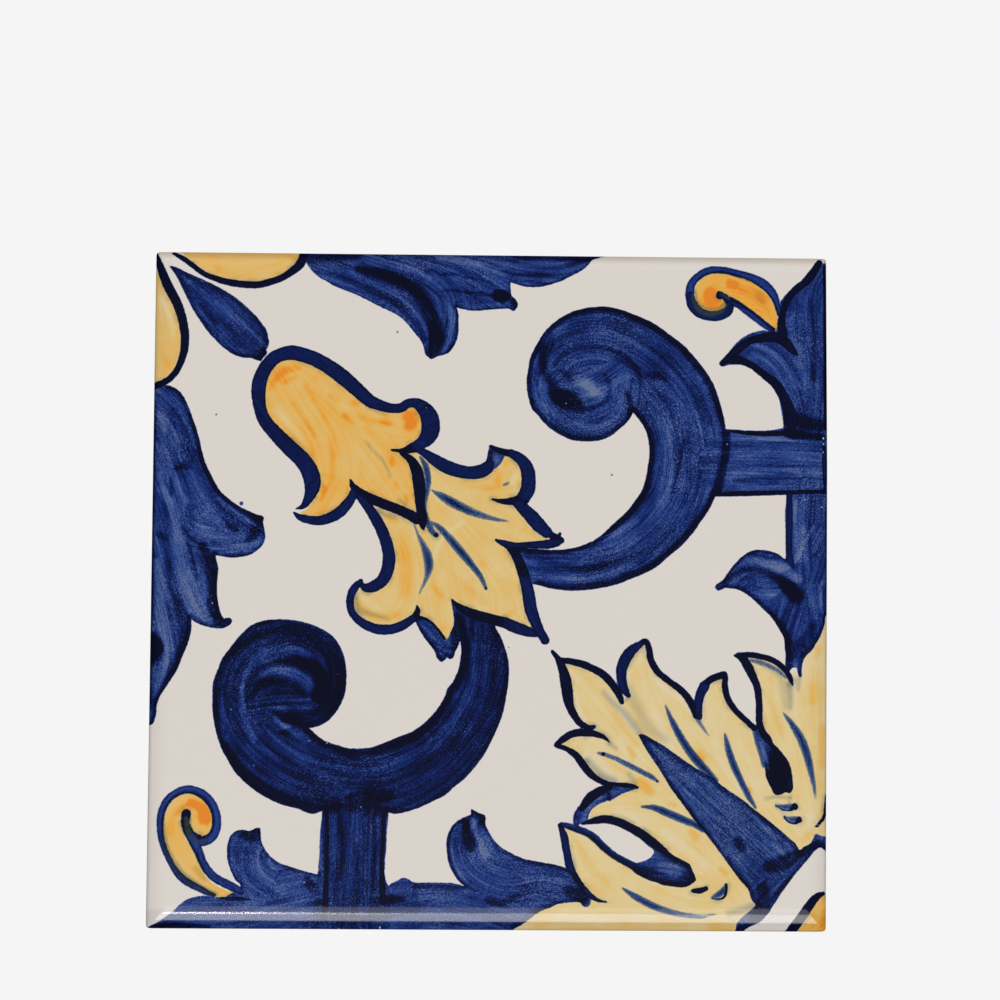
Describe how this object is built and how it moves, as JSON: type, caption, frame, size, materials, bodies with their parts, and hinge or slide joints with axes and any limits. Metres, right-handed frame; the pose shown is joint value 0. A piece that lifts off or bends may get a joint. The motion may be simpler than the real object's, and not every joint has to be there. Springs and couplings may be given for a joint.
{
  "type": "azulejo tile",
  "caption": "Square glazed wall tile with softly rolled face edges, painted in blue and yellow with traditional leaf scrolls.",
  "frame": {"origin": "centre of the back, which is also the centre of the bounding box's bottom", "axes": "+Z out of the glazed face, +Y towards the head of the painted pattern as pictured, +X to its right"},
  "size_m": [0.14, 0.14, 0.008],
  "materials": {
    "painted_glaze": "gloss"
  },
  "bodies": {
    "root": {"tile": "painted_glaze"}
  },
  "joints": []
}
